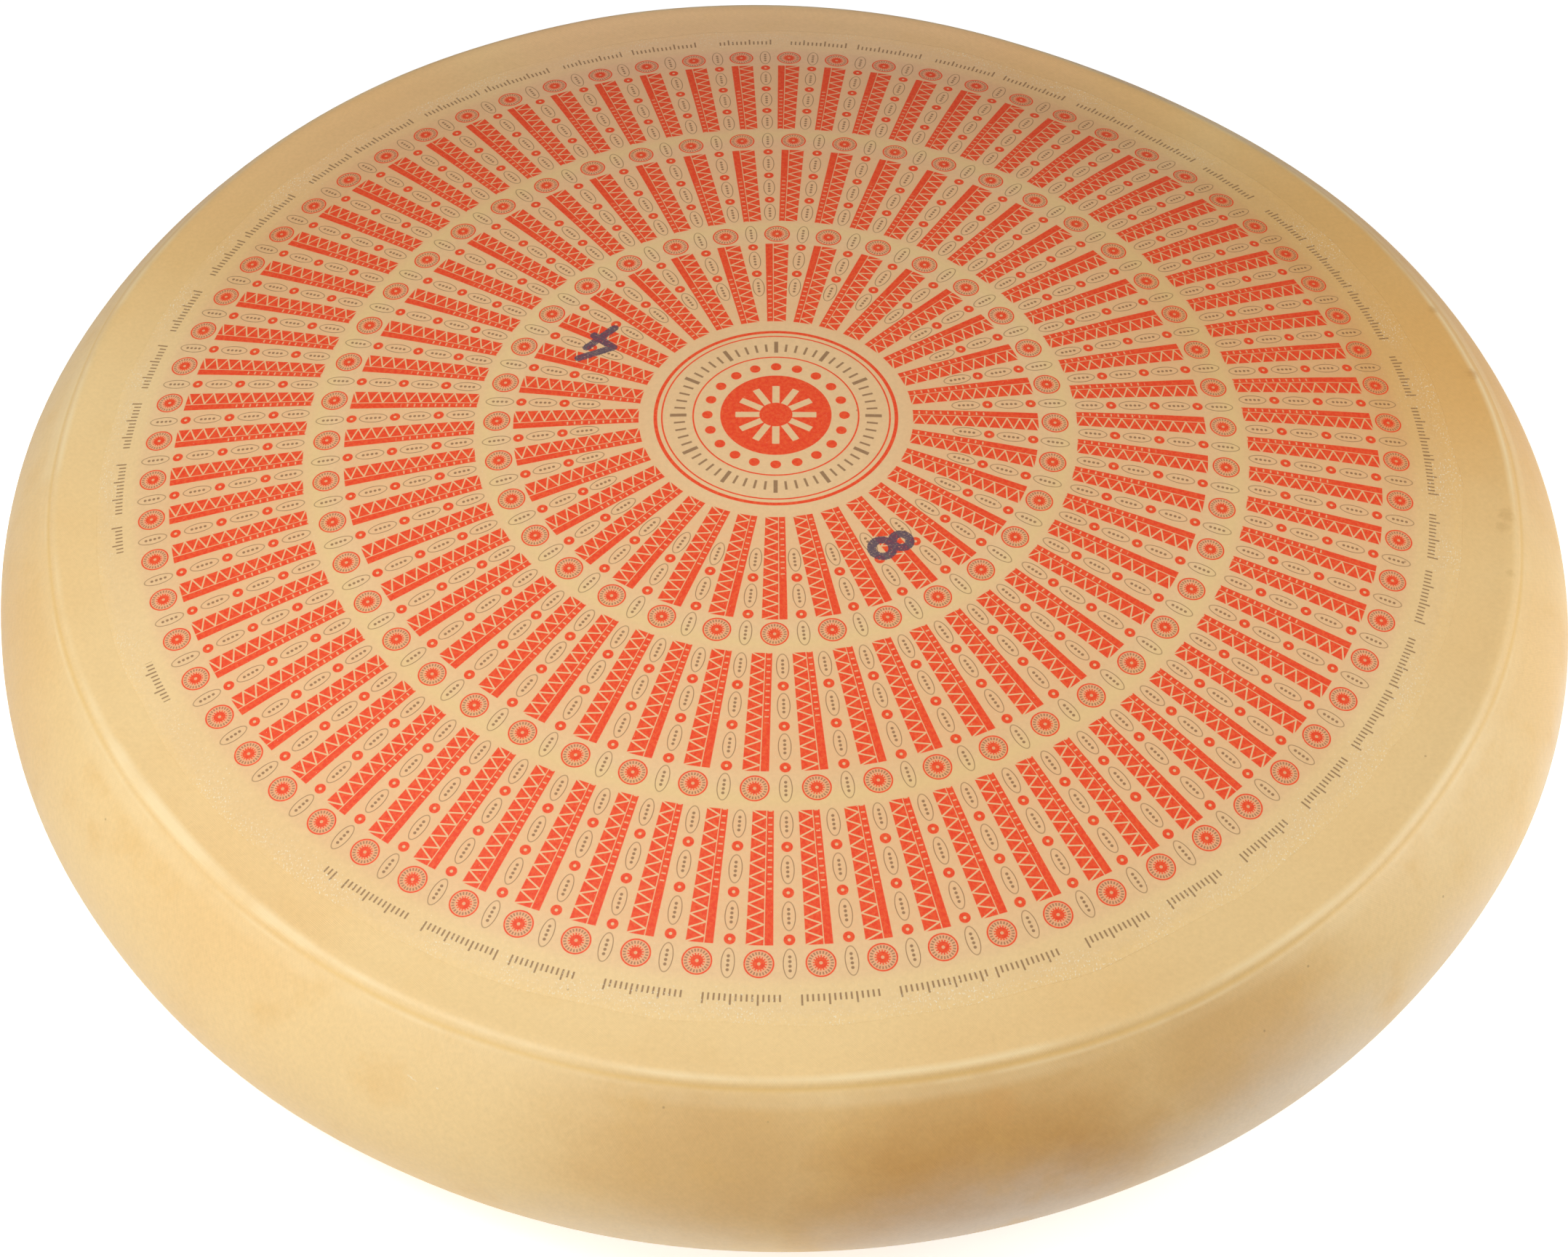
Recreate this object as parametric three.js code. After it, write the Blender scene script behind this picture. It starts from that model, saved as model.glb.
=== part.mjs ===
// A whole wheel of hard cheese lying on one of its flat sides, with the printed sheet
// that covers most of its upper face. Units are millimetres, +Z is up, and the origin is
// the centre of the underside.
import * as THREE from 'three';

// Driving dimensions.
const wheelRadius = 440;      // widest point, half way up the side
const rimRadius = 404;        // both rims, above and below the bulging side
const sideHeight = 142;       // from the lower rim to the upper rim
const rimRounding = 4;        // radius of the rounded edge at each rim
const domeRadius = 340;       // the upper face is domed out to here, then levels off
const domeSphereRadius = 2050; // sphere that the dome is a slice of
const sheetRadius = 372;      // edge of the printed sheet
const sheetThickness = 0.4;
const sheetGap = 0.3;         // clearance kept between the sheet and the rind
const footRadius = 330;       // flat patch of the underside that carries the wheel
const footLift = 3;           // how far the lower rim stands off the ground

// Mesh fineness.
const turnSegments = 72;
const sheetSteps = 7;
const marginSteps = 2;
const sideSteps = 12;
const roundingSteps = 3;

// Levels that follow from them.
const levelRadius = rimRadius - rimRounding;
const domeEdgeSlope = domeRadius / domeSphereRadius;
const lowerRimHeight = footLift;
const upperRimHeight = lowerRimHeight + sideHeight;
const crownHeight = upperRimHeight + crownDrop(levelRadius);

const rindMaterial = new THREE.MeshStandardMaterial({
  color: 0xe3bf80,
  roughness: 0.45,
  metalness: 0,
});
const sheetMaterial = new THREE.MeshStandardMaterial({
  color: 0xdfc08c,
  roughness: 0.5,
  metalness: 0,
});

// How far the upper face lies below its centre. It is a slice of a sphere in the middle,
// and its slope then eases to level at the rim.
function crownDrop(radius) {
  if (radius <= domeRadius) return radius ** 2 / (2 * domeSphereRadius);
  const past = radius - domeRadius;
  const easing = 1 - past / (2 * (levelRadius - domeRadius));
  return domeRadius ** 2 / (2 * domeSphereRadius) + domeEdgeSlope * past * easing;
}

// A profile is drawn as (distance from the axis, height) and turned about the Z axis.
function turn(name, profile, material) {
  const geometry = new THREE.LatheGeometry(profile, turnSegments);
  geometry.rotateX(Math.PI / 2);
  const mesh = new THREE.Mesh(geometry, material);
  mesh.name = name;
  return mesh;
}

// The upper face between two radii, from the inner one outwards, raised by lift.
function crownCurve(from, to, steps, lift) {
  const points = [];
  for (let i = 0; i <= steps; i += 1) {
    const radius = from + ((to - from) * i) / steps;
    points.push(new THREE.Vector2(radius, crownHeight - crownDrop(radius) + lift));
  }
  return points;
}

// Quarter of a circle that rounds a rim over; side is 1 at the upper rim, -1 at the lower.
function rimCurve(height, side) {
  const points = [];
  for (let i = 0; i <= roundingSteps; i += 1) {
    const angle = (Math.PI / 2) * (i / roundingSteps);
    points.push(new THREE.Vector2(
      levelRadius + rimRounding * Math.sin(angle),
      height - side * rimRounding * (1 - Math.cos(angle)),
    ));
  }
  return side > 0 ? points.reverse() : points;
}

// The bulging side, a parabola between the two rounded rims, without its end points.
function sideCurve() {
  const low = lowerRimHeight + rimRounding;
  const high = upperRimHeight - rimRounding;
  const points = [];
  for (let i = 1; i < sideSteps; i += 1) {
    const share = (2 * i) / sideSteps - 1;
    const radius = rimRadius + (wheelRadius - rimRadius) * (1 - share ** 2);
    points.push(new THREE.Vector2(radius, low + ((high - low) * (1 + share)) / 2));
  }
  return points;
}

function makeWheel() {
  const underSheet = crownCurve(0, sheetRadius, sheetSteps, 0);
  const margin = crownCurve(sheetRadius, levelRadius, marginSteps, 0).slice(1, -1);
  const profile = [
    new THREE.Vector2(0, 0),
    new THREE.Vector2(footRadius, 0),
    ...rimCurve(lowerRimHeight, -1),
    ...sideCurve(),
    ...rimCurve(upperRimHeight, 1),
    ...margin.reverse(),
    ...underSheet.reverse(),
  ];
  return turn('cheese_wheel', profile, rindMaterial);
}

function makePrintedSheet() {
  const lower = crownCurve(0, sheetRadius, sheetSteps, sheetGap);
  const upper = crownCurve(0, sheetRadius, sheetSteps, sheetGap + sheetThickness);
  return turn('printed_sheet', [...lower, ...upper.reverse()], sheetMaterial);
}

const group = new THREE.Group();
group.add(makeWheel(), makePrintedSheet());

export default group;
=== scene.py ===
import math

import bmesh
import bpy
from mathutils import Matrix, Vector, noise


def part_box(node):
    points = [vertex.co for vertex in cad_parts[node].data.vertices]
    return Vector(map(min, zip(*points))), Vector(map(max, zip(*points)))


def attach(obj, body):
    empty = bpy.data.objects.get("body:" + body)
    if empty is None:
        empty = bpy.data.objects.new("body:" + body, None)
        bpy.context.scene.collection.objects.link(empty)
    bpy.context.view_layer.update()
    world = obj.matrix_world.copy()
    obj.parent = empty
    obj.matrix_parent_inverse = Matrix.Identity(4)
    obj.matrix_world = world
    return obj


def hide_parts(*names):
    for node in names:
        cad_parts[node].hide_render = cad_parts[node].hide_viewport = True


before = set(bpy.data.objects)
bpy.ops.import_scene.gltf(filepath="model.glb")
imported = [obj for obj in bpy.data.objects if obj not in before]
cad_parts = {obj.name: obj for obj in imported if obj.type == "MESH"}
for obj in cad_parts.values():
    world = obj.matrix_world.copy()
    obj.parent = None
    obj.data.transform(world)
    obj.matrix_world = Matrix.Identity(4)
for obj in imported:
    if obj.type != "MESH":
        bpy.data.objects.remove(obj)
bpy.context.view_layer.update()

scene = bpy.context.scene
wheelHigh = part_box("cheese_wheel")[1]
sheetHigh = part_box("printed_sheet")[1]

# metres and degrees
view = {
    "target": (0.0024, -0.1289, 0.1500),
    "distance": 1.5885,
    "elevation": 49.23,
    "roll": 0.10,
    "lens": 69.9,
    "sensor": 36,
}


def aimAt(obj, target):
    obj.rotation_euler = (Vector(target) - obj.location).to_track_quat("-Z", "Y").to_euler()


def makeCamera():
    camera = bpy.data.objects.new("camera", bpy.data.cameras.new("camera"))
    camera.data.lens = view["lens"]
    camera.data.sensor_width = view["sensor"]
    camera.data.clip_end = 50
    up = math.radians(view["elevation"])
    back = Vector((0, -math.cos(up), math.sin(up)))
    camera.location = Vector(view["target"]) + back * view["distance"]
    camera.rotation_euler = (math.pi / 2 - up, 0, 0)
    camera.rotation_euler.rotate_axis("Z", math.radians(view["roll"]))
    scene.collection.objects.link(camera)
    scene.camera = camera


# each light has its heading and height above the floor in degrees, and its distance from the wheel;
# the world and the floor glow more to the camera than to the wheel, so that the background stays pale
studio = {
    "worldLight": 0.13,
    "worldSeen": 0.92,
    "lights": {
        "key": {"heading": 215, "up": 60, "distance": 1.5, "size": 0.9, "power": 14.8},
        "low": {"heading": 235, "up": 30, "distance": 1.5, "size": 0.9, "power": 3.7},
        "side": {"heading": 350, "up": 22, "distance": 1.3, "size": 0.6, "power": 6.7},
    },
    "floorSize": 60,
    "floorColour": (0.93, 0.93, 0.92, 1),
    "floorGlow": 0.24,
    "floorSeen": 0.56,
}


def makeLight(name, heading, up, distance, size, power):
    light = bpy.data.lights.new(name, "AREA")
    light.shape = "DISK"
    light.size = size
    light.energy = power
    obj = bpy.data.objects.new(name, light)
    turn, rise = math.radians(heading), math.radians(up)
    middle = Vector((0, 0, wheelHigh.z / 2))
    level = distance * math.cos(rise)
    away = Vector((level * math.cos(turn), level * math.sin(turn), distance * math.sin(rise)))
    obj.location = middle + away
    aimAt(obj, middle)
    scene.collection.objects.link(obj)


def glowByRay(tree, seen, given):
    # one strength for what the camera sees, another for what lights the scene
    return ramp(tree, addNode(tree, "ShaderNodeLightPath").outputs["Is Camera Ray"], 0.0, 1.0, given, seen)


def makeWorld():
    world = bpy.data.worlds.new("studio")
    world.use_nodes = True
    background = world.node_tree.nodes["Background"]
    background.inputs["Color"].default_value = (1, 1, 1, 1)
    link(world.node_tree, glowByRay(world.node_tree, studio["worldSeen"], studio["worldLight"]),
         background.inputs["Strength"])
    scene.world = world
    scene.view_settings.view_transform = "Standard"


def makeFloor():
    bm = bmesh.new()
    bmesh.ops.create_grid(bm, x_segments=1, y_segments=1, size=studio["floorSize"] / 2)
    mesh = bpy.data.meshes.new("floor")
    bm.to_mesh(mesh)
    bm.free()
    floor = bpy.data.objects.new("floor", mesh)
    scene.collection.objects.link(floor)
    paint = bpy.data.materials.new("floor_white")
    paint.use_nodes = True
    shader = paint.node_tree.nodes["Principled BSDF"]
    shader.inputs["Base Color"].default_value = studio["floorColour"]
    shader.inputs["Roughness"].default_value = 0.8
    shader.inputs["Emission Color"].default_value = (1, 1, 1, 1)
    link(paint.node_tree, glowByRay(paint.node_tree, studio["floorSeen"], studio["floorGlow"]),
         shader.inputs["Emission Strength"])
    mesh.materials.append(paint)


# metres, and headings in degrees
wheelShape = {
    "widest": wheelHigh.x,
    "crown": wheelHigh.z,
    "rimHeight": 0.145,
    "footRadius": 0.330,
    "footLift": 0.003,
    "domeRadius": 0.340,
    "domeSphere": 2.05,
    "levelRadius": 0.400,
    "faceEdge": 0.396,
    "rounding": 0.0078,
    "roundTurn": 42,            # degrees, then the side carries on at that slope
    "lipHeight": 0.00016,       # the face lifts a little into the ridge, after a shallow dip
    "lipReach": 0.004,
    "dipDepth": 0.00018,
    "dipPlace": 0.012,
    "dipReach": 0.007,
    "seamDepth": 0.00022,       # the groove just outside the ridge, its place in millimetres
    "seamPlace": 6.2,
    "seamReach": 2.0,
    "ovalness": (0.0078, 123),  # share of the radius, and the heading of the long way
    "threeSidedness": (0.0035, 5),
    "hollow": {"heading": 51, "width": 24, "radius": 0.385, "reach": 0.075, "depth": 0.0085},
    "unevenness": 0.0012,
    "kinks": [(300, 16, 0.0024), (217, 20, -0.0028), (2, 14, 0.0018)],  # heading, width, shift of the rim
    "kinkReach": 0.012,
    "rimWaver": 0.0012,
    "swell": 0.0016,
    "topFrom": 0.100,           # the unevenness of the face fades out below the rim
    "topBlend": 0.040,
    "floorBlend": 0.020,        # and that of the side fades out just above the floor
    "worn": [(220, 30), (90, 60)],      # heading and width of the stretches where the seam is worn away
    "wornShare": 0.9,
    "turnSteps": 264,
}

sheetShape = {
    "radius": sheetHigh.x,
    "gap": 0.00005,
    "thickness": 0.00012,
    "taper": 0.6,               # share of the thickness lost at the edge
    "taperReach": 0.010,
    "edgeWaver": 0.006,         # share of the radius
    "waverReach": 0.004,
    "edgePress": 0.00004,       # the edge is pressed into the rind
    "pressReach": 0.0035,
    "edgeInsets": (0.0030, 0.0012, 0.0005, 0.0002, 0),
    "turnSteps": 264,
    "rings": 62,
}


def faceDrop(radius):
    s = wheelShape
    if radius <= s["domeRadius"]:
        return radius ** 2 / (2 * s["domeSphere"])
    slope = s["domeRadius"] / s["domeSphere"]
    reach = s["levelRadius"] - s["domeRadius"]
    past = min(radius - s["domeRadius"], reach)
    return s["domeRadius"] ** 2 / (2 * s["domeSphere"]) + slope * past * (1 - past / (2 * reach))


def bump(value, centre, width):
    return math.exp(-((value - centre) / width) ** 2)


def angleFrom(heading, degrees):
    return (math.degrees(heading) - degrees + 180) % 360 - 180


def outOfRound(heading):
    size2, turn2 = wheelShape["ovalness"]
    size3, turn3 = wheelShape["threeSidedness"]
    return (1 + size2 * math.cos(2 * (heading - math.radians(turn2)))
            + size3 * math.cos(3 * (heading - math.radians(turn3))))


def faceSag(x, y):
    # a broad hollow at the back right of the upper face, and a gentle unevenness all over
    h = wheelShape["hollow"]
    across = bump(angleFrom(math.atan2(y, x), h["heading"]), 0, h["width"])
    along = bump(math.hypot(x, y), h["radius"], h["reach"])
    uneven = wheelShape["unevenness"] * noise.noise(Vector((x * 3.1, y * 3.1, 0.7)))
    return uneven - h["depth"] * across * along


def wheelPoint(point):
    # moves a point of the true turned shape to where it lies on the real, uneven wheel
    s = wheelShape
    radius, heading = math.hypot(point.x, point.y), math.atan2(point.y, point.x)
    if radius < 1e-6:
        return Vector((0, 0, point.z + (faceSag(0, 0) if point.z > s["topFrom"] else 0)))
    atRim = bump(radius, s["levelRadius"], s["kinkReach"]) * (point.z > s["topFrom"] + 0.030)
    shift = s["rimWaver"] * noise.noise(Vector((math.cos(heading) * 4, math.sin(heading) * 4, 3.3)))
    for place, width, size in s["kinks"]:
        shift += size * bump(angleFrom(heading, place), 0, width)
    seam = s["seamDepth"] * bump(outlineReach(point), s["seamPlace"], s["seamReach"])
    for place, width in s["worn"]:
        seam *= 1 - s["wornShare"] * bump(angleFrom(heading, place), 0, width)
    scale = outOfRound(heading) * (1 + (atRim * shift - seam) / radius)
    x, y, z = point.x * scale, point.y * scale, point.z - seam
    onTop = min(1, max(0, (z - s["topFrom"]) / s["topBlend"]))
    offFloor = min(1, z / s["floorBlend"])
    z += faceSag(x, y) * onTop
    swell = s["swell"] * noise.noise(Vector((x * 6, y * 6, z * 9))) * offFloor * (1 - onTop * 0.6)
    return Vector((x, y, z)) + Vector((x, y, 0)).normalized() * swell


def wheelProfile():
    # from the centre of the underside out and round to the centre of the crown, finest near the ridge
    s = wheelShape
    footSteps, risingSteps, sideSteps, fineSteps, faceSteps = 12, 8, 34, 14, 38
    points = [(s["footRadius"] * i / footSteps, 0) for i in range(footSteps + 1)]
    rimLow = s["footLift"]
    for i in range(1, risingSteps):
        share = i / risingSteps
        radius = s["footRadius"] + (s["levelRadius"] - s["footRadius"]) * share
        points.append((radius, rimLow * share ** 2))
    points += rimPoints(rimLow, -1)
    low, high = points[-1][1], s["rimHeight"] - (points[-1][1] - rimLow)
    fineHeights = [high - 0.0005 * i for i in range(1, fineSteps + 1)]
    span = fineHeights[-1] - low
    heights = [low + span * i / sideSteps for i in range(1, sideSteps)] + fineHeights[::-1]
    points += [sidePoint(points[-1][0], low, high, height) for height in heights]
    points += rimPoints(s["rimHeight"], 1)
    radii = [s["faceEdge"] - 0.0018 * i for i in range(1, fineSteps + 1)]
    radii += [radii[-1] * (1 - i / faceSteps) for i in range(1, faceSteps + 1)]
    for radius in radii:
        lip = s["lipHeight"] * bump(radius, s["faceEdge"], s["lipReach"])
        dip = s["dipDepth"] * bump(radius, s["faceEdge"] - s["dipPlace"], s["dipReach"])
        points.append((radius, s["crown"] - faceDrop(radius) + lip - dip))
    return points


def outlineReach(point):
    # how far down and out a point of the outline is from the top ridge, in millimetres
    outward = math.hypot(point.x, point.y) - wheelShape["levelRadius"]
    return 1000 * (outward + wheelShape["rimHeight"] - point.z)


def sidePoint(startRadius, low, high, height):
    share = (2 * height - low - high) / (high - low)
    return startRadius + (wheelShape["widest"] - startRadius) * (1 - share ** 2), height


def rimPoints(height, side):
    # the rounded ridge, with side 1 above, where the outline runs inwards, and -1 below
    s = wheelShape
    roundSteps = 8
    points = []
    for i in range(roundSteps + 1):
        angle = math.radians(s["roundTurn"]) * i / roundSteps
        points.append((s["faceEdge"] + s["rounding"] * math.sin(angle),
                       height - side * s["rounding"] * (1 - math.cos(angle))))
    return points[::-1] if side > 0 else points


def spinProfile(name, points, steps, place):
    # turns the outline, stores each point's reach from the ridge, and puts the point in its place
    bm = bmesh.new()
    verts = [bm.verts.new((radius, 0, height)) for radius, height in points]
    edges = [bm.edges.new(pair) for pair in zip(verts, verts[1:])]
    bmesh.ops.spin(bm, geom=verts + edges, cent=(0, 0, 0), axis=(0, 0, 1), dvec=(0, 0, 0),
                   angle=2 * math.pi, steps=steps, use_merge=True, use_duplicate=False)
    bmesh.ops.remove_doubles(bm, verts=bm.verts, dist=1e-6)
    reach = bm.verts.layers.float.new("reach")
    for vert in bm.verts:
        vert[reach] = outlineReach(vert.co)
        vert.co = place(vert.co)
    bmesh.ops.recalc_face_normals(bm, faces=bm.faces)
    for face in bm.faces:
        face.smooth = True
    mesh = bpy.data.meshes.new(name)
    bm.to_mesh(mesh)
    bm.free()
    obj = bpy.data.objects.new(name, mesh)
    scene.collection.objects.link(obj)
    return obj


def makeWheel():
    return spinProfile("cheese_rind", wheelProfile(), wheelShape["turnSteps"], wheelPoint)


def sheetPoint(point):
    # lays a point of the flat round sheet on the uneven face, lifted by its z
    s = sheetShape
    radius, heading = math.hypot(point.x, point.y), math.atan2(point.y, point.x)
    shift = noise.noise(Vector((math.cos(heading) * 9, math.sin(heading) * 9, 0)))
    waver = 1 + s["edgeWaver"] * bump(radius, s["radius"], s["waverReach"]) * shift
    x, y = point.x * waver, point.y * waver
    height = wheelShape["crown"] - faceDrop(radius * waver / outOfRound(heading)) + faceSag(x, y)
    pressedIn = s["edgePress"] * bump(radius, s["radius"], s["pressReach"])
    return Vector((x, y, height + point.z - pressedIn))


def makeSheet():
    s = sheetShape
    radii = [s["radius"] * i / s["rings"] for i in range(s["rings"])]
    radii += [s["radius"] - inset for inset in s["edgeInsets"]]
    points = [(radius, s["gap"]) for radius in radii]
    for radius in reversed(radii):
        thickness = s["thickness"] * (1 - s["taper"] * bump(radius, s["radius"], s["taperReach"]))
        points.append((radius, s["gap"] + thickness))
    return spinProfile("marking_sheet", points, s["turnSteps"], sheetPoint)


def addNode(tree, kind, **values):
    node = tree.nodes.new(kind)
    for name, value in values.items():
        if name[0].islower():
            setattr(node, name, value)
        else:
            node.inputs[name.replace("_", " ")].default_value = value
    return node


def link(tree, source, target):
    if isinstance(source, (int, float, tuple)):
        target.default_value = source
    else:
        tree.links.new(source, target)


def maths(tree, operation, *values, clamp=False):
    node = addNode(tree, "ShaderNodeMath", operation=operation, use_clamp=clamp)
    for value, socket in zip(values, node.inputs):
        link(tree, value, socket)
    return node.outputs[0]


def vectors(tree, operation, *values):
    node = addNode(tree, "ShaderNodeVectorMath", operation=operation)
    for value, socket in zip(values, node.inputs):
        link(tree, value, socket)
    return node.outputs["Value" if operation in ("LENGTH", "DISTANCE", "DOT_PRODUCT") else "Vector"]


def scaled(tree, vector, factor):
    node = addNode(tree, "ShaderNodeVectorMath", operation="SCALE")
    link(tree, vector, node.inputs[0])
    link(tree, factor, node.inputs["Scale"])
    return node.outputs[0]


def combine(tree, x, y, z=0.0):
    node = addNode(tree, "ShaderNodeCombineXYZ")
    for value, socket in zip((x, y, z), node.inputs):
        link(tree, value, socket)
    return node.outputs[0]


def separate(tree, vector):
    node = addNode(tree, "ShaderNodeSeparateXYZ")
    link(tree, vector, node.inputs[0])
    return node.outputs


def noiseOf(tree, vector, scale, detail=2.0, roughness=0.5, output="Fac"):
    node = addNode(tree, "ShaderNodeTexNoise", Scale=scale, Detail=detail, Roughness=roughness)
    link(tree, vector, node.inputs["Vector"])
    return node.outputs[output]


def below(tree, value, edge, blur):
    # 1 where value is under the edge, 0 above it, with a soft step blur wide
    gap = maths(tree, "SUBTRACT", edge, value)
    return maths(tree, "MULTIPLY_ADD", gap, 1 / blur, 0.5, clamp=True)


def above(tree, value, edge, blur):
    gap = maths(tree, "SUBTRACT", value, edge)
    return maths(tree, "MULTIPLY_ADD", gap, 1 / blur, 0.5, clamp=True)


def ramp(tree, value, low, high, toLow=0.0, toHigh=1.0):
    node = addNode(tree, "ShaderNodeMapRange", interpolation_type="SMOOTHSTEP")
    for item, socket in zip((value, low, high, toLow, toHigh), node.inputs):
        link(tree, item, socket)
    return node.outputs[0]


def allOf(tree, *masks):
    result = masks[0]
    for mask in masks[1:]:
        result = maths(tree, "MULTIPLY", result, mask)
    return result


def anyOf(tree, *masks):
    result = masks[0]
    for mask in masks[1:]:
        result = maths(tree, "MAXIMUM", result, mask)
    return result


def blendColour(tree, factor, first, second, mode="MIX"):
    node = addNode(tree, "ShaderNodeMix", data_type="RGBA", blend_type=mode)
    link(tree, factor, node.inputs[0])
    for value, socket in ((first, node.inputs[6]), (second, node.inputs[7])):  # the colour pair
        link(tree, value + (1,) if isinstance(value, tuple) else value, socket)
    return node.outputs[2]


def newGroup(name, inputs, outputs):
    tree = bpy.data.node_groups.new(name, "ShaderNodeTree")
    for direction, sockets in (("INPUT", inputs), ("OUTPUT", outputs)):
        for socketName, kind in sockets.items():
            tree.interface.new_socket(name=socketName, in_out=direction, socket_type="NodeSocket" + kind)
    start = tree.nodes.new("NodeGroupInput")
    end = tree.nodes.new("NodeGroupOutput")
    return tree, start.outputs, end.inputs


def useGroup(tree, group, **values):
    node = tree.nodes.new("ShaderNodeGroup")
    node.node_tree = group
    for name, value in values.items():
        link(tree, value, node.inputs[name])
    return node.outputs


def onWheel(heading, radius, height):
    turn = math.radians(heading)
    return radius * math.cos(turn), radius * math.sin(turn), height


def makeSpot():
    # a soft ragged spot round a place, both in metres
    sockets = {"Point": "Vector", "Place": "Vector", "Size": "Float", "Ragged": "Float"}
    tree, given, result = newGroup("ragged_spot", sockets, {"Mask": "Float"})
    away = vectors(tree, "DISTANCE", given["Point"], given["Place"])
    share = maths(tree, "DIVIDE", away, given["Size"])
    sizes = combine(tree, given["Size"], given["Size"], given["Size"])
    ragged = noiseOf(tree, vectors(tree, "DIVIDE", given["Point"], sizes), 2.4, 4, 0.65)
    share = maths(tree, "MULTIPLY_ADD", maths(tree, "SUBTRACT", ragged, 0.5), given["Ragged"], share)
    link(tree, ramp(tree, share, 0.25, 1.0, 1.0, 0.0), result["Mask"])
    return tree


def makeStroke():
    # distance to a straight stroke between two points, in millimetres
    sockets = {"Point": "Vector", "From": "Vector", "To": "Vector"}
    tree, given, result = newGroup("straight_stroke", sockets, {"Away": "Float"})
    reach = vectors(tree, "SUBTRACT", given["Point"], given["From"])
    whole = vectors(tree, "SUBTRACT", given["To"], given["From"])
    share = maths(tree, "DIVIDE", vectors(tree, "DOT_PRODUCT", reach, whole),
                  vectors(tree, "DOT_PRODUCT", whole, whole), clamp=True)
    away = vectors(tree, "LENGTH", vectors(tree, "SUBTRACT", reach, scaled(tree, whole, share)))
    link(tree, away, result["Away"])
    return tree


rindLook = {
    "ivory": (0.855, 0.610, 0.290),
    "tan": (0.745, 0.445, 0.170),
    "orange": (0.760, 0.460, 0.150),
    "fleck": (0.330, 0.190, 0.085),
    "roughness": 0.46,
    "specular": 0.30,
    "threadPitch": 0.0012,      # of the press cloth
    "wrapRadius": 0.43,         # where its imprint goes round the side
}


# where the rind differs in colour, each place with its heading, radius, height, size and strength,
# and the height that the zone stays below; the warm, rosy and brown zones are painted shade, the pale
# zones painted light
rindZones = {
    # painted shade: a warmer, darker rind where less light falls, mostly on the far side
    "warmShade": {"colour": (0.745, 0.385, 0.095), "top": 1.0,
             "places": [(20, 0.390, 0.150, 0.270, 0.70), (60, 0.390, 0.145, 0.170, 0.50),
                        (140, 0.390, 0.140, 0.230, 0.42), (345, 0.435, 0.120, 0.120, 0.20),
                        (195, 0.435, 0.105, 0.120, 0.30)]},
    # painted shade: a pinker rind on the far side, where less light falls
    "rosyShade": {"colour": (0.870, 0.530, 0.285), "top": 1.0,
             "places": [(92, 0.400, 0.150, 0.330, 0.75), (128, 0.420, 0.140, 0.200, 0.40)]},
    # painted shade: a browner band across the middle of the side at the front right, which the lamps light
    # least
    "brownShade": {"colour": (0.585, 0.300, 0.080), "top": 0.142,
              "places": [(283, 0.436, 0.096, 0.150, 1.00), (266, 0.434, 0.110, 0.120, 0.55),
                         (301, 0.430, 0.120, 0.100, 0.55)]},
    # painted light: a paler, greyer rind low on the front of the side, the white floor's bounce painted in
    "paleFloorLight": {"colour": (0.770, 0.640, 0.500), "top": 0.142,
             "places": [(284, 0.430, 0.048, 0.130, 0.85), (262, 0.430, 0.042, 0.110, 0.40),
                        (304, 0.430, 0.055, 0.140, 0.80), (322, 0.430, 0.050, 0.130, 0.60),
                        (341, 0.430, 0.060, 0.110, 0.55), (200, 0.420, 0.030, 0.110, 0.30)]},
}
sideStretch = 1.9               # makes the zones wider than they are high
zoneRagged = 0.45


def addRindZones(tree, spot, point, colour):
    stretched = vectors(tree, "MULTIPLY", point, (1, 1, sideStretch))
    streaky = ramp(tree, noiseOf(tree, stretched, 9, 4, 0.6), 0.25, 0.75, 0.8, 1.0)
    height = separate(tree, point)[2]
    for zone in rindZones.values():
        masks = []
        for heading, radius, z, size, strength in zone["places"]:
            place = onWheel(heading, radius, z * sideStretch)
            mask = useGroup(tree, spot, Point=stretched, Place=place, Size=size, Ragged=zoneRagged)["Mask"]
            masks.append(maths(tree, "MULTIPLY", mask, strength))
        lowEnough = below(tree, height, zone["top"], 0.008)
        mask = allOf(tree, anyOf(tree, *masks), streaky, lowEnough)
        colour = blendColour(tree, mask, colour, zone["colour"])
    return colour


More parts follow.
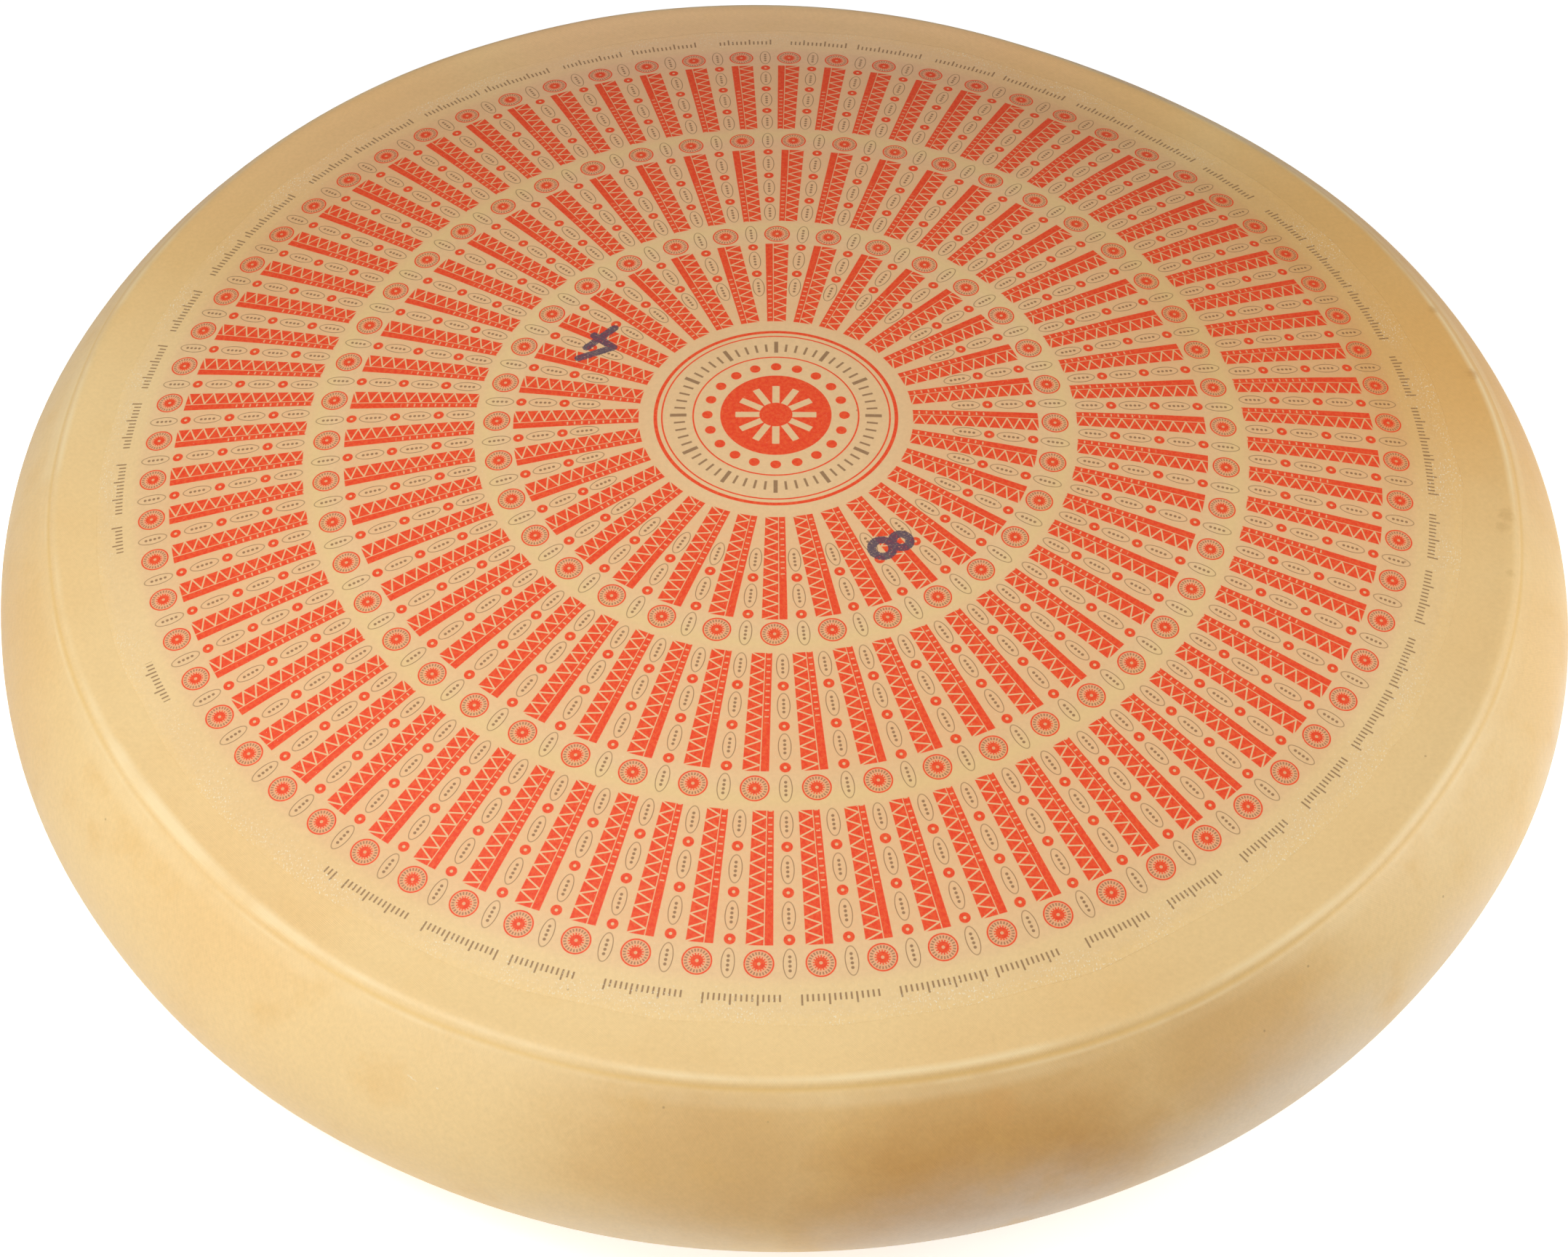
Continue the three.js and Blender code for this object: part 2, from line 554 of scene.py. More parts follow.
def makeRindTone(spot):
    # colour and fine relief of the rind, shared by the wheel and the sheet that lies on it
    tree, given, result = newGroup("rind_tone", {"Point": "Vector", "Mottle": "Float"},
                                   {"Colour": "Color", "Relief": "Float", "Roughness": "Float"})
    point = given["Point"]
    broad = ramp(tree, noiseOf(tree, point, 5.5, 3), 0.42, 0.75)
    colour = blendColour(tree, maths(tree, "MULTIPLY", broad, 0.30), rindLook["ivory"], rindLook["tan"])
    # adds the zones of painted shade and of painted light from the floor
    colour = addRindZones(tree, spot, point, colour)
    blotch = ramp(tree, noiseOf(tree, point, 27, 4, 0.6), 0.50, 0.78)
    blotch = allOf(tree, blotch, given["Mottle"], 0.50)
    colour = blendColour(tree, blotch, colour, rindLook["orange"])
    grain = noiseOf(tree, point, 420, 3, 0.6)
    shade = maths(tree, "MULTIPLY_ADD", grain, 0.18, 0.91)
    colour = blendColour(tree, 1.0, colour, combine(tree, shade, shade, shade), "MULTIPLY")
    cells = addNode(tree, "ShaderNodeTexVoronoi", Scale=42.0)
    link(tree, point, cells.inputs["Vector"])
    chosen = above(tree, separate(tree, cells.outputs["Color"])[0], 0.72, 0.02)
    fleck = allOf(tree, below(tree, cells.outputs["Distance"], 0.028, 0.02), chosen, 0.55)
    colour = blendColour(tree, fleck, colour, rindLook["fleck"])
    lumps = maths(tree, "MULTIPLY", noiseOf(tree, point, 90, 3), 0.22)
    relief = maths(tree, "MULTIPLY_ADD", grain, 0.10, lumps)
    rough = maths(tree, "MULTIPLY_ADD", noiseOf(tree, point, 60, 3), 0.16, rindLook["roughness"] - 0.08)
    link(tree, colour, result["Colour"])
    link(tree, relief, result["Relief"])
    link(tree, rough, result["Roughness"])
    return tree


def makeClothImprint():
    # threads of the press cloth, as a height from 0 to 1 on a flat pair of coordinates in metres
    tree, given, result = newGroup("cloth_imprint", {"Flat": "Vector"}, {"Relief": "Float"})
    drift = noiseOf(tree, given["Flat"], 14, 2, output="Color")
    wander = vectors(tree, "MULTIPLY", drift, (0.004, 0.004, 0))
    turns = 2 * math.pi / rindLook["threadPitch"]
    x, y, _ = separate(tree, scaled(tree, vectors(tree, "ADD", given["Flat"], wander), turns))
    weave = maths(tree, "MULTIPLY", maths(tree, "SINE", x), maths(tree, "SINE", y))
    slant = maths(tree, "SINE", maths(tree, "MULTIPLY_ADD", x, 0.5, maths(tree, "MULTIPLY", y, 0.5)))
    both = maths(tree, "MULTIPLY_ADD", slant, 0.25, weave)
    broken = ramp(tree, noiseOf(tree, given["Flat"], 260, 2), 0.35, 0.65, 0.2, 1.0)
    threads = maths(tree, "MULTIPLY", both, broken)
    link(tree, maths(tree, "MULTIPLY_ADD", threads, 0.4, 0.5), result["Relief"])
    return tree


def makePrincipled(name):
    material = bpy.data.materials.new(name)
    material.use_nodes = True
    tree = material.node_tree
    return material, tree, tree.nodes["Principled BSDF"]


def addRelief(tree, shader, height, distance, strength=1.0):
    node = addNode(tree, "ShaderNodeBump", Distance=distance, Strength=strength)
    link(tree, height, node.inputs["Height"])
    link(tree, node.outputs["Normal"], shader.inputs["Normal"])


# widths and places across the rim are in millimetres from the ridge
rimLook = {
    # painted highlight, on the ridge, the line beyond it and the top of the side
    "highlightColour": (0.930, 0.740, 0.430),
    # the groove's yellower rind with painted shade, outside the ridge
    "grooveColourAndShade": (0.800, 0.505, 0.150),
    "ridgeHalf": 1.8,
    "ridgeHalfMore": 2.6,       # added in the wide painted highlight
    "seamPlace": 6.0,
    "linePlace": 9.5,
    "scratchColour": (0.93, 0.86, 0.70),
    # a wide painted highlight on the ridge at the front left, towards the key lamp
    "wideHighlight": (224, 0.400, 0.145, 0.150),   # heading, radius, height and size
}

# small marks on the rind: heading, radius, height, size, strength, and colour
blemishes = [
    (17.8, 0.3960, 0.1440, 0.0050, 0.42, (0.580, 0.300, 0.085)),
    (9.8, 0.3975, 0.1450, 0.0055, 0.48, (0.560, 0.270, 0.080)),
    (353.9, 0.3960, 0.1450, 0.0065, 0.30, (0.520, 0.310, 0.110)),
    (352.6, 0.3935, 0.1450, 0.0050, 0.26, (0.520, 0.310, 0.110)),
    (347.8, 0.3985, 0.1450, 0.0035, 0.28, (0.540, 0.330, 0.120)),
    (189.2, 0.4020, 0.1445, 0.0045, 0.60, (0.300, 0.190, 0.100)),
    (284.4, 0.4180, 0.1290, 0.0130, 0.22, (0.740, 0.370, 0.110)),
    (243.8, 0.4280, 0.1140, 0.0200, 0.20, (0.780, 0.450, 0.140)),
    (289.0, 0.4370, 0.0960, 0.0120, 0.22, (0.520, 0.280, 0.100)),
]

# short pale scratches on the side, in millimetres
scratches = [
    ((-171, -388, 124), (-161, -391, 120)),
    ((-176, -384, 121), (-168, -388, 118)),
    ((-223, -348, 134), (-175, -371, 138)),
]


def paintRim(tree, spot, point, reach, colour):
    # painted light on the rim: a painted highlight along the ridge, painted shade on the yellower groove
    # outside it, a fine painted highlight line beyond, and a top of the side made paler as painted light
    # noise that breaks up the painted highlights
    ridgeHighlightBreaks = ramp(tree, noiseOf(tree, point, 9, 4, 0.6), 0.36, 0.60, 0.20, 1.0)
    lineHighlightBreaks = ramp(tree, noiseOf(tree, point, 13, 4, 0.6), 0.40, 0.62, 0.10, 1.0)
    turn, radius, height, size = rimLook["wideHighlight"]
    place = onWheel(turn, radius, height)
    wide = useGroup(tree, spot, Point=point, Place=place, Size=size, Ragged=1.1)["Mask"]
    outward = maths(tree, "SUBTRACT", reach, 1.5)
    wander = maths(tree, "MULTIPLY_ADD", noiseOf(tree, point, 9, 2), 3.0, outward)
    half = maths(tree, "MULTIPLY_ADD", wide, rimLook["ridgeHalfMore"], rimLook["ridgeHalf"])
    ridge = allOf(tree, within(tree, wander, half, 3.6), ridgeHighlightBreaks)
    fromSeam = maths(tree, "SUBTRACT", wander, rimLook["seamPlace"])
    seam = without(tree, within(tree, fromSeam, 1.3, 2.6), wide)
    fromLine = maths(tree, "SUBTRACT", wander, rimLook["linePlace"])
    outerLine = allOf(tree, within(tree, fromLine, 1.0, 2.8), lineHighlightBreaks)
    shoulder = allOf(tree, between(tree, reach, 9.0, 19.0, 6.0), ridgeHighlightBreaks)
    for mask, share, tint in ((shoulder, 0.26, "highlightColour"), (ridge, 0.76, "highlightColour"),
                              (outerLine, 0.50, "highlightColour"), (seam, 0.42, "grooveColourAndShade")):
        colour = blendColour(tree, maths(tree, "MULTIPLY", mask, share), colour, rimLook[tint])
    return colour


def paintBlemishes(tree, groups, point, colour):
    for heading, radius, height, size, strength, tint in blemishes:
        place = onWheel(heading, radius, height)
        mask = useGroup(tree, groups["spot"], Point=point, Place=place, Size=size, Ragged=1.4)["Mask"]
        colour = blendColour(tree, maths(tree, "MULTIPLY", mask, strength), colour, tint)
    inMillimetres = scaled(tree, point, 1000.0)
    broken = above(tree, noiseOf(tree, inMillimetres, 0.9, 2), 0.46, 0.10)
    for start, end in scratches:
        away = useGroup(tree, groups["stroke"], Point=inMillimetres, From=start, To=end)["Away"]
        mask = allOf(tree, below(tree, away, 0.35, 0.5), broken, 0.6)
        colour = blendColour(tree, mask, colour, rimLook["scratchColour"])
    return colour


def paintRind(groups):
    material, tree, shader = makePrincipled("cheese_rind")
    point = addNode(tree, "ShaderNodeTexCoord").outputs["Object"]
    reach = addNode(tree, "ShaderNodeAttribute", attribute_name="reach").outputs["Fac"]
    x, y, z = separate(tree, point)
    onSide = ramp(tree, reach, 4.0, 12.0)
    mottle = maths(tree, "MULTIPLY_ADD", onSide, 0.5, 0.30)
    tone = useGroup(tree, groups["tone"], Point=point, Mottle=mottle)
    colour = paintRim(tree, groups["spot"], point, reach, tone["Colour"])
    colour = paintBlemishes(tree, groups, point, colour)
    heading = maths(tree, "ARCTAN2", y, x)
    wrapped = combine(tree, maths(tree, "MULTIPLY", heading, rindLook["wrapRadius"]), z)
    sideCloth = useGroup(tree, groups["cloth"], Flat=wrapped)["Relief"]
    faceCloth = useGroup(tree, groups["cloth"], Flat=point)["Relief"]
    patchy = ramp(tree, noiseOf(tree, point, 6, 2), 0.35, 0.65, 0.30, 1.0)
    onFace = maths(tree, "SUBTRACT", 1.0, onSide)
    cloth = maths(tree, "MULTIPLY_ADD", faceCloth, onFace, maths(tree, "MULTIPLY", sideCloth, onSide))
    cloth = maths(tree, "MULTIPLY", cloth, patchy)
    # the weave's relief is also painted into the colour, darker in its hollows: painted shade
    shade = maths(tree, "MULTIPLY_ADD", cloth, 0.11, 0.945)
    colour = blendColour(tree, 1.0, colour, combine(tree, shade, shade, shade), "MULTIPLY")
    link(tree, colour, shader.inputs["Base Color"])
    link(tree, tone["Roughness"], shader.inputs["Roughness"])
    relief = maths(tree, "MULTIPLY_ADD", cloth, 0.16, tone["Relief"])
    addRelief(tree, shader, relief, 0.0010, 0.6)
    shader.inputs["Specular IOR Level"].default_value = rindLook["specular"]
    return material


printLook = {
    "centre": (-2.2, 0.1),      # the sheet's print sits a little off the wheel's axis, in millimetres
    "red": (0.840, 0.045, 0.011),
    "redPale": (0.880, 0.095, 0.022),
    "grey": (0.205, 0.100, 0.046),
    "marker": (0.100, 0.068, 0.100),
    "sheetTint": (0.955, 0.900, 0.995),
    "marginTint": (0.975, 0.980, 1.030),
    "bleed": (0.840, 0.472, 0.234),     # a warm cast of the ink over the dense parts
    "yellow": (0.800, 0.600, 0.240),
    "fibre": (0.900, 0.790, 0.580),
    "yellowRings": [(154.0, 162.0), (246.0, 256.0)],
    "marginFrom": (345.0, 353.0),
    "clearFrom": (364.0, 371.0),        # past the print the film has no tint
    "blur": 0.35,
}

# each ring of marks: how many round the ring, heading of the first, radius of the round marks,
# outer and inner ends of the bars, number of ovals between two bars, and their spacing
printRings = {
    "outer": {"Count": 72, "Turn": 8.80, "Radius": 340.0, "BarOut": 330.4, "BarIn": 257.3,
              "Ovals": 4, "Spacing": 25.0},
    "middle": {"Count": 50, "Turn": 8.52, "Radius": 244.8, "BarOut": 234.9, "BarIn": 163.9,
               "Ovals": 4, "Spacing": 24.2},
    "inner": {"Count": 32, "Turn": 11.17, "Radius": 151.8, "BarOut": 142.7, "BarIn": 74.5,
              "Ovals": 3, "Spacing": 23.9},
}


def offsetFromWhole(tree, value):
    return maths(tree, "SUBTRACT", value, maths(tree, "ROUND", value))


def pythagoras(tree, a, b):
    return maths(tree, "SQRT", maths(tree, "MULTIPLY_ADD", a, a, maths(tree, "MULTIPLY", b, b)))


def within(tree, value, reach, blur):
    return below(tree, maths(tree, "ABSOLUTE", value), reach, blur)


def between(tree, value, low, high, blur):
    return allOf(tree, above(tree, value, low, blur), below(tree, value, high, blur))


def without(tree, mask, hole):
    return maths(tree, "MULTIPLY", mask, maths(tree, "SUBTRACT", 1.0, hole))


# the parts of a round mark, in millimetres from its middle
roundMark = {
    "spot": (0.8, 3.1),
    "teeth": (2.9, 4.0),
    "toothCount": 16.0,
    "dashes": (4.7, 6.2),
    "dashCount": 23.0,
    "outline": 7.0,
    "outlineHalf": 0.42,
    "wash": 0.28,               # share of the ink that covers the whole mark
}


def drawRoundMark(tree, across, up, blur):
    # a spot with a pale middle, a ring of teeth, a ring of fine dashes and an outer line
    r = roundMark
    away = pythagoras(tree, across, up)
    angle = maths(tree, "ARCTAN2", up, across)
    teeth = above(tree, maths(tree, "SINE", maths(tree, "MULTIPLY", angle, r["toothCount"])), 0.0, 0.8)
    dashes = above(tree, maths(tree, "SINE", maths(tree, "MULTIPLY", angle, r["dashCount"])), 0.0, 0.8)
    spot = between(tree, away, *r["spot"], blur)
    toothed = allOf(tree, between(tree, away, *r["teeth"], blur), teeth)
    outline = within(tree, maths(tree, "SUBTRACT", away, r["outline"]), r["outlineHalf"], blur)
    wash = maths(tree, "MULTIPLY", below(tree, away, r["outline"], blur), r["wash"])
    red = anyOf(tree, spot, toothed, outline, wash)
    return red, allOf(tree, between(tree, away, *r["dashes"], blur), dashes, 0.85)


# a bar of the print: its widths and the pitch of its notches in millimetres, the rest in half widths
# across it or in shares of its length
barShape = {
    "innerHalf": 5.2,
    "halfMore": 1.45,           # added at the outer end
    "toothedTo": 0.29,
    "bandFrom": 0.36,
    "zigzags": 10.0,
    "zigzagWidth": 1.27,
    "zigzagHalf": 0.125,
    "notchPitch": 3.9,
    "notch": (0.50, 0.86),
    "notchedShare": 0.60,
}


def drawBar(tree, across, along, given, blur):
    # a bar that narrows inwards, with one edge a solid band and the rest cut by a pale zigzag
    b = barShape
    length = maths(tree, "SUBTRACT", given["BarOut"], given["BarIn"])
    share = maths(tree, "DIVIDE", maths(tree, "SUBTRACT", along, given["BarIn"]), length)
    halfWidth = maths(tree, "MULTIPLY_ADD", share, b["halfMore"], b["innerHalf"])
    sidewise = maths(tree, "DIVIDE", across, halfWidth)
    inBar = allOf(tree, between(tree, along, given["BarIn"], given["BarOut"], blur),
                  within(tree, sidewise, 1.0, 0.06))
    swing = maths(tree, "ABSOLUTE", offsetFromWhole(tree, maths(tree, "MULTIPLY", share, b["zigzags"])))
    fold = maths(tree, "MULTIPLY", swing, -2.0)
    rise = maths(tree, "MULTIPLY_ADD", maths(tree, "ADD", sidewise, 1.0), 1 / b["zigzagWidth"], fold)
    zigzag = within(tree, rise, b["zigzagHalf"], 0.08)
    toothed = without(tree, below(tree, sidewise, b["toothedTo"], 0.06), zigzag)
    notchStep = offsetFromWhole(tree, maths(tree, "MULTIPLY", along, 1 / b["notchPitch"]))
    notch = allOf(tree, within(tree, notchStep, 0.10, 0.08), between(tree, sidewise, *b["notch"], 0.06),
                  below(tree, share, b["notchedShare"], 0.01), 0.85)
    band = without(tree, above(tree, sidewise, b["bandFrom"], 0.06), notch)
    return allOf(tree, inBar, anyOf(tree, band, toothed))


# the marks between two bars, in millimetres
columnShape = {
    "ovalAcross": 3.40,
    "ovalAlong": 7.85,
    "ovalLine": 0.45,
    "pipPitch": 2.4,
    "pipRadius": 0.80,
    "pipsReach": 4.7,
    "dot": (0.80, 2.85),        # its pale middle and its rim
}


def drawColumn(tree, across, along, given, blur):
    # between two bars: thin ovals that hold four small dots, and a bigger dot in each gap
    c = columnShape
    steps = maths(tree, "DIVIDE", maths(tree, "SUBTRACT", given["Radius"], along), given["Spacing"])
    up = maths(tree, "MULTIPLY", offsetFromWhole(tree, steps), given["Spacing"])
    inColumn = between(tree, steps, -0.45, maths(tree, "SUBTRACT", given["Ovals"], 0.55), 0.02)

    def ovalOf(wide, tall):
        return pythagoras(tree, maths(tree, "DIVIDE", across, wide), maths(tree, "DIVIDE", up, tall))

    outside = ovalOf(c["ovalAcross"], c["ovalAlong"])
    inside = ovalOf(c["ovalAcross"] - c["ovalLine"], c["ovalAlong"] - c["ovalLine"])
    oval = allOf(tree, below(tree, outside, 1.0, 0.08), above(tree, inside, 1.0, 0.08))
    pipSteps = maths(tree, "MULTIPLY_ADD", up, 1 / c["pipPitch"], 0.5)
    pipUp = maths(tree, "MULTIPLY", offsetFromWhole(tree, pipSteps), c["pipPitch"])
    pips = allOf(tree, below(tree, pythagoras(tree, across, pipUp), c["pipRadius"], blur),
                 within(tree, up, c["pipsReach"], blur))
    grey = allOf(tree, anyOf(tree, oval, pips), inColumn)
    gapSteps = maths(tree, "SUBTRACT", steps, 0.5)
    gapUp = maths(tree, "MULTIPLY", offsetFromWhole(tree, gapSteps), given["Spacing"])
    fromDot = pythagoras(tree, across, gapUp)
    inDots = between(tree, gapSteps, -0.45, maths(tree, "SUBTRACT", given["Ovals"], 1.55), 0.02)
    return allOf(tree, between(tree, fromDot, *c["dot"], blur), inDots), grey


def makePrintRing():
    # one ring of plain marks, in millimetres: round marks, bars, and dots between ovals
    sockets = {"Along": "Float", "Heading": "Float"}
    sockets.update({name: "Float" for name in printRings["outer"]})
    drawn = {"Red": "Float", "Grey": "Float", "Bleed": "Float"}
    tree, given, result = newGroup("print_ring", sockets, drawn)
    blur = printLook["blur"]
    along = given["Along"]
    turns = maths(tree, "DIVIDE", maths(tree, "SUBTRACT", given["Heading"], given["Turn"]), 360.0)
    places = maths(tree, "MULTIPLY", turns, given["Count"])
    pitch = maths(tree, "DIVIDE", maths(tree, "MULTIPLY", along, 2 * math.pi), given["Count"])
    across = maths(tree, "MULTIPLY", offsetFromWhole(tree, places), pitch)
    acrossGap = maths(tree, "MULTIPLY", offsetFromWhole(tree, maths(tree, "ADD", places, 0.5)), pitch)
    up = maths(tree, "SUBTRACT", along, given["Radius"])
    roundRed, roundGrey = drawRoundMark(tree, across, up, blur)
    bar = drawBar(tree, across, along, given, blur)
    dots, grey = drawColumn(tree, acrossGap, along, given, blur)
    link(tree, anyOf(tree, roundRed, bar, dots), result["Red"])
    link(tree, anyOf(tree, roundGrey, grey), result["Grey"])
    # a faint warm bleed over the dense part of the ring
    link(tree, between(tree, along, given["BarIn"], given["BarOut"], 14.0), result["Bleed"])
    return tree


# two pen numbers: where each is, which way is up, and its strokes in millimetres, right then up
penNumbers = {
    "four": {"centre": (-98, 57), "up": 226, "loops": [],
             "strokes": [((1, 15), (-7, -3.5)), ((-7, -3.5), (8, -3.5)), ((4, 6), (4, -15))]},
    "eight": {"centre": (61, -92), "up": 30, "loops": [((0, -5.8), 5.6), ((0.4, 5.4), 4.6)],
              "strokes": []},
}
penWidth = 4.9


def drawPenNumbers(tree, stroke, flat):
    away = 1000.0
    for number in penNumbers.values():
        turn = math.radians(number["up"])
        centre = Vector(number["centre"] + (0,))
        upward = Vector((math.cos(turn), math.sin(turn), 0))
        rightward = Vector((math.sin(turn), -math.cos(turn), 0))

        def placed(point):
            return tuple(centre + rightward * point[0] + upward * point[1])

        for start, end in number["strokes"]:
            reach = useGroup(tree, stroke, Point=flat, From=placed(start), To=placed(end))["Away"]
            away = maths(tree, "MINIMUM", away, reach)
        for middle, radius in number["loops"]:
            offset = maths(tree, "SUBTRACT", vectors(tree, "DISTANCE", flat, placed(middle)), radius)
            away = maths(tree, "MINIMUM", away, maths(tree, "ABSOLUTE", offset))
    frayed = maths(tree, "MULTIPLY_ADD", noiseOf(tree, flat, 1.1, 3, 0.7), 1.6, away)
    ink = below(tree, frayed, penWidth / 2 + 0.8, 0.35)
    brushed = noiseOf(tree, vectors(tree, "MULTIPLY", flat, (0.6, 1.5, 1)), 1.3, 3, 0.6)
    streak = ramp(tree, brushed, 0.56, 0.66)
    return allOf(tree, ink, maths(tree, "MULTIPLY_ADD", streak, -0.7, 1.0))


def drawTicks(tree, along, heading, count, low, high, width):
    pitch = maths(tree, "MULTIPLY", along, 2 * math.pi / count)
    steps = maths(tree, "MULTIPLY", heading, count / 360)
    across = maths(tree, "MULTIPLY", offsetFromWhole(tree, steps), pitch)
    return allOf(tree, within(tree, across, width / 2, printLook["blur"]),
                 between(tree, along, low, high, printLook["blur"]))


# the middle of the print, in millimetres; a row of ticks has its count, inner and outer end and width
centreShape = {
    "petals": (12, 9.0, 22.0, 4.0),
    "disc": 30.2,
    "dotCount": 20,
    "dotPlace": 37.2,
    "dotRadius": 2.9,
    "rings": [(44.9, 0.9), (61.9, 0.9), (65.4, 2.0)],   # radius and width
    "shortTicks": (60, 49.5, 55.5, 1.3),
    "longTicks": (12, 48.5, 57.5, 2.2),
}


def drawCentre(tree, along, heading):
    # a plain dial of ticks and dots
    c = centreShape
    blur = printLook["blur"]
    petals = drawTicks(tree, along, heading, *c["petals"])
    disc = without(tree, below(tree, along, c["disc"], blur), petals)
    dotPitch = maths(tree, "MULTIPLY", along, 2 * math.pi / c["dotCount"])
    dotSteps = offsetFromWhole(tree, maths(tree, "MULTIPLY", heading, c["dotCount"] / 360))
    dotAcross = maths(tree, "MULTIPLY", dotSteps, dotPitch)
    fromDot = pythagoras(tree, dotAcross, maths(tree, "SUBTRACT", along, c["dotPlace"]))
    rings = [within(tree, maths(tree, "SUBTRACT", along, radius), width / 2, blur)
             for radius, width in c["rings"]]
    red = anyOf(tree, disc, below(tree, fromDot, c["dotRadius"], blur), *rings)
    grey = anyOf(tree, drawTicks(tree, along, heading, *c["shortTicks"]),
                 drawTicks(tree, along, heading, *c["longTicks"]))
    return red, grey


# a scale of fine ticks in uneven groups near the edge of the sheet, open at the front left,
# in millimetres and degrees
marginRow = {
    "low": 356.0,
    "short": 359.8,
    "tall": 361.8,
    "tickPitch": 0.42,
    "groupLength": 18,          # ticks, some of them left out at the end of each group
    "tallEvery": 5,
    "gapFrom": 192.0,
    "gapTo": 232.0,
    "lonelyFrom": 205.0,        # a short group in the middle of the gap
    "lonelyTo": 209.6,
}


def chanceOf(tree, value):
    node = addNode(tree, "ShaderNodeTexWhiteNoise", noise_dimensions="1D")
    link(tree, value, node.inputs["W"])
    return node.outputs["Value"]


def drawMargin(tree, along, heading):
    m = marginRow
    steps = maths(tree, "MULTIPLY", heading, 1 / m["tickPitch"])
    place = maths(tree, "ROUND", steps)
    group = maths(tree, "FLOOR", maths(tree, "DIVIDE", place, m["groupLength"]))
    inGroup = maths(tree, "SUBTRACT", place, maths(tree, "MULTIPLY", group, m["groupLength"]))
    lastInGroup = maths(tree, "MULTIPLY_ADD", chanceOf(tree, group), 5.0, m["groupLength"] - 6.0)
    fifth = offsetFromWhole(tree, maths(tree, "DIVIDE", inGroup, m["tallEvery"]))
    tall = within(tree, fifth, 0.05, 0.01)
    top = maths(tree, "MULTIPLY_ADD", tall, m["tall"] - m["short"], m["short"])
    stroke = allOf(tree, within(tree, maths(tree, "SUBTRACT", steps, place), 0.18, 0.12),
                   between(tree, along, m["low"], top, 0.4), below(tree, inGroup, lastInGroup, 0.01))
    outsideGap = maths(tree, "SUBTRACT", 1.0, between(tree, heading, m["gapFrom"], m["gapTo"], 0.05))
    lonely = between(tree, heading, m["lonelyFrom"], m["lonelyTo"], 0.05)
    return allOf(tree, stroke, anyOf(tree, outsideGap, lonely))


def drawFlecks(tree, flat, along):
    # pale fibres in the film, thickest along its edge
    grain = noiseOf(tree, vectors(tree, "MULTIPLY", flat, (1, 0.6, 1)), 1.15, 3, 0.6)
    bar = ramp(tree, along, 343.0, 366.0, 0.710, 0.605)
    patches = ramp(tree, noiseOf(tree, flat, 0.03, 3), 0.40, 0.60, 0.15, 0.80)
    return allOf(tree, above(tree, grain, bar, 0.05), patches)


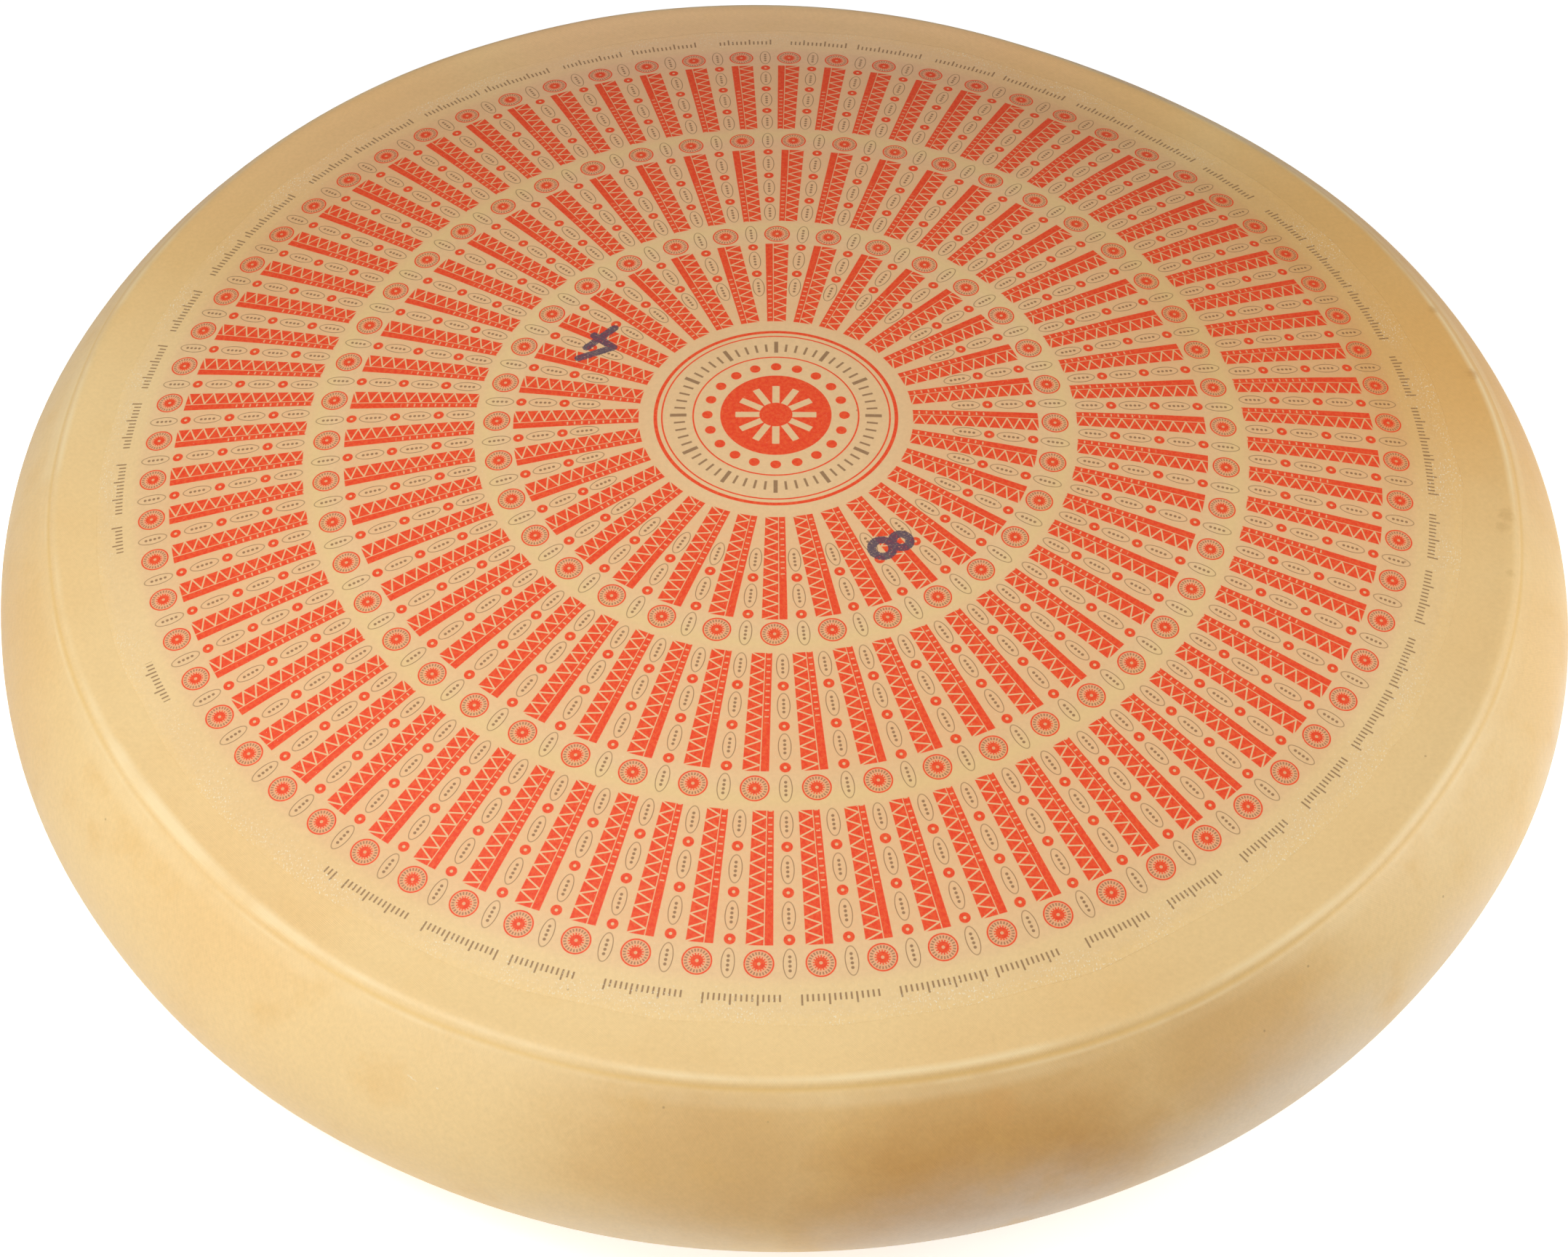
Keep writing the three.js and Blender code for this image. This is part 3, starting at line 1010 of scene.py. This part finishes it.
def paintSheet(groups):
    material, tree, shader = makePrincipled("marking_sheet")
    point = addNode(tree, "ShaderNodeTexCoord").outputs["Object"]
    flat = vectors(tree, "SUBTRACT", scaled(tree, vectors(tree, "MULTIPLY", point, (1, 1, 0)), 1000.0),
                   printLook["centre"] + (0,))
    x, y, _ = separate(tree, flat)
    along = pythagoras(tree, x, y)
    heading = maths(tree, "MULTIPLY", maths(tree, "ARCTAN2", y, x), 180 / math.pi)
    heading = maths(tree, "MODULO", maths(tree, "ADD", heading, 360.0), 360.0)

    tone = useGroup(tree, groups["tone"], Point=point, Mottle=0.12)
    inMargin = ramp(tree, along, *printLook["marginFrom"])
    tint = blendColour(tree, inMargin, printLook["sheetTint"], printLook["marginTint"])
    tinted = blendColour(tree, 1.0, tone["Colour"], tint, "MULTIPLY")
    clear = ramp(tree, along, *printLook["clearFrom"])
    colour = blendColour(tree, clear, tinted, tone["Colour"])
    red, grey, bleed = [], [], []
    for ring in printRings.values():
        marks = useGroup(tree, groups["ring"], Along=along, Heading=heading, **ring)
        red.append(marks["Red"])
        grey.append(marks["Grey"])
        bleed.append(marks["Bleed"])
    centreRed, centreGrey = drawCentre(tree, along, heading)
    red.append(centreRed)
    grey += [centreGrey, drawMargin(tree, along, heading)]
    fibres = ramp(tree, noiseOf(tree, flat, 0.35, 4, 0.65), 0.30, 0.70, 0.6, 1.3)
    cast = allOf(tree, anyOf(tree, *bleed), fibres, 0.50)
    colour = blendColour(tree, cast, colour, printLook["bleed"])
    yellow = anyOf(tree, *[between(tree, along, *ends, 8.0) for ends in printLook["yellowRings"]])
    colour = blendColour(tree, maths(tree, "MULTIPLY", yellow, 0.35), colour, printLook["yellow"])

    speckle = noiseOf(tree, flat, 1.6, 3, 0.7)
    cover = ramp(tree, speckle, 0.60, 0.72, 1.0, 0.5)
    patchyRed = ramp(tree, noiseOf(tree, flat, 0.5, 3), 0.35, 0.7)
    inkRed = blendColour(tree, patchyRed, printLook["red"], printLook["redPale"])
    colour = blendColour(tree, allOf(tree, anyOf(tree, *red), cover, 0.96), colour, inkRed)
    colour = blendColour(tree, allOf(tree, anyOf(tree, *grey), cover, 0.78), colour, printLook["grey"])
    penInk = drawPenNumbers(tree, groups["stroke"], flat)
    colour = blendColour(tree, maths(tree, "MULTIPLY", penInk, 0.94), colour, printLook["marker"])
    colour = blendColour(tree, drawFlecks(tree, flat, along), colour, printLook["fibre"])
    link(tree, colour, shader.inputs["Base Color"])
    link(tree, maths(tree, "ADD", tone["Roughness"], 0.02), shader.inputs["Roughness"])
    cloth = useGroup(tree, groups["cloth"], Flat=point)["Relief"]
    film = noiseOf(tree, flat, 0.9, 3, 0.6)
    relief = maths(tree, "MULTIPLY_ADD", film, 0.10, tone["Relief"])
    relief = maths(tree, "MULTIPLY_ADD", cloth, 0.05, relief)
    addRelief(tree, shader, relief, 0.0010, 0.5)
    shader.inputs["Specular IOR Level"].default_value = rindLook["specular"]
    return material


makeCamera()
for name, values in studio["lights"].items():
    makeLight(name, **values)
makeWorld()
makeFloor()
print("camera and studio ready")

wheel = makeWheel()
sheet = makeSheet()
print("wheel and sheet shaped:", len(wheel.data.polygons), len(sheet.data.polygons), "faces")

spot = makeSpot()
groups = {"tone": makeRindTone(spot), "cloth": makeClothImprint(), "ring": makePrintRing(),
          "stroke": makeStroke(), "spot": spot}
wheel.data.materials.append(paintRind(groups))
sheet.data.materials.append(paintSheet(groups))
print("finishes painted")

for piece, node, slot in ((wheel, "cheese_wheel", "rind"), (sheet, "printed_sheet", "printed_sheet")):
    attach(piece, "root")
    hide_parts(node)
